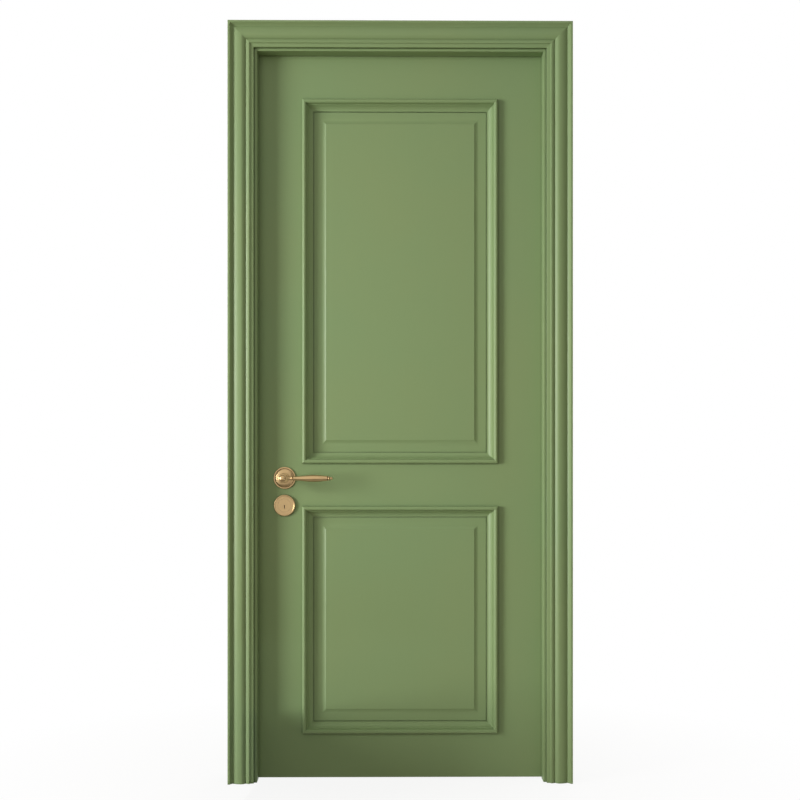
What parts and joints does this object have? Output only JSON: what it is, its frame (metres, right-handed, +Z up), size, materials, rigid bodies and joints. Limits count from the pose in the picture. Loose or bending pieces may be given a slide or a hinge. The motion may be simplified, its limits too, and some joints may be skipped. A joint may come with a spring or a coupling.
{
  "type": "panelled interior door in its frame",
  "caption": "Painted panelled bedroom door hung in a rebated frame with moulded casings, with lever handles, a keyed mortise lock and a thumbturn.",
  "frame": {"origin": "floor level, in the middle of the opening's width and of the leaf's thickness", "axes": "+X towards the hinges, +Y from the push side to the pull side, the way the leaf opens, +Z up"},
  "size_m": [0.964, 0.18, 2.09],
  "materials": {
    "painted_wood": "satin green paint",
    "satin_brass": "satin, lightly aged",
    "lock_steel": "zinc plated",
    "seal_rubber": "matt",
    "dark_plastic": "matt"
  },
  "bodies": {
    "frame": {"lock_jamb": "painted_wood", "hinge_jamb": "painted_wood", "head_jamb": "painted_wood", "front_casing_left": "painted_wood", "front_casing_right": "painted_wood", "front_casing_head": "painted_wood", "rear_casing_left": "painted_wood", "rear_casing_right": "painted_wood", "rear_casing_head": "painted_wood", "seal_left": "seal_rubber", "seal_right": "seal_rubber", "seal_head": "seal_rubber", "strike_plate": "satin_brass", "strike_box": "dark_plastic", "strike_screws": "satin_brass", "upper_hinge_frame_leaf": "satin_brass", "middle_hinge_frame_leaf": "satin_brass", "lower_hinge_frame_leaf": "satin_brass", "upper_hinge_pin": "satin_brass", "middle_hinge_pin": "satin_brass", "lower_hinge_pin": "satin_brass", "frame_hinge_screws": "satin_brass"},
    "leaf": {"lock_stile": "painted_wood", "hinge_stile": "painted_wood", "top_rail": "painted_wood", "lock_rail": "painted_wood", "bottom_rail": "painted_wood", "upper_panel": "painted_wood", "lower_panel": "painted_wood", "upper_front_moulding": "painted_wood", "lower_front_moulding": "painted_wood", "upper_rear_moulding": "painted_wood", "lower_rear_moulding": "painted_wood", "upper_hinge_door_leaf": "satin_brass", "middle_hinge_door_leaf": "satin_brass", "lower_hinge_door_leaf": "satin_brass", "door_hinge_screws": "satin_brass", "lock_case": "lock_steel", "lock_cover": "lock_steel", "lock_forend": "satin_brass", "forend_screws": "satin_brass", "front_rosette": "satin_brass", "rear_rosette": "satin_brass", "rose_plates": "lock_steel", "rose_bolts": "lock_steel", "cylinder_collar": "satin_brass", "cylinder_body": "satin_brass", "turn_rose": "satin_brass", "turn_rose_screws": "satin_brass", "latch_spring": "lock_steel"},
    "handle": {"front_lever": "satin_brass", "rear_lever": "satin_brass", "spindle": "lock_steel", "latch_follower": "lock_steel", "lever_grub_screws": "lock_steel"},
    "latch": {"latch_bolt": "satin_brass"},
    "key_side": {"key_plug": "satin_brass", "turn_cam": "lock_steel", "thumbturn": "satin_brass"},
    "bolt": {"deadbolt": "lock_steel"}
  },
  "joints": [
    {"name": "leaf_swing", "type": "hinge", "parent": "frame", "child": "leaf", "pos_m": [0.4015, 0.0265, 0], "axis": [0, 0, -1], "range_deg": [0, 170]},
    {"name": "handle_turn", "type": "hinge", "parent": "leaf", "child": "handle", "pos_m": [-0.32, 0, 0.832], "axis": [0, 1, 0], "range_deg": [0, 40], "stiffness_Nm_per_rad": 1.2, "springref_deg": -34.38},
    {"name": "latch_slide", "type": "slide", "parent": "leaf", "child": "latch", "axis": [1, 0, 0], "range_m": [0, 0.012], "deforming": ["latch_spring"]},
    {"name": "key_turn", "type": "hinge", "parent": "leaf", "child": "key_side", "pos_m": [-0.32, 0, 0.7524], "axis": [0, -1, 0], "range_deg": [0, 90]},
    {"name": "bolt_slide", "type": "slide", "parent": "leaf", "child": "bolt", "axis": [-1, 0, 0], "range_m": [0, 0.01485]}
  ],
  "couplings": [
    {"joint": "latch_slide", "follows": "handle_turn", "m_per_rad": 0.017188},
    {"joint": "key_turn", "follows": "bolt_slide", "rad_per_m": 105.78}
  ]
}
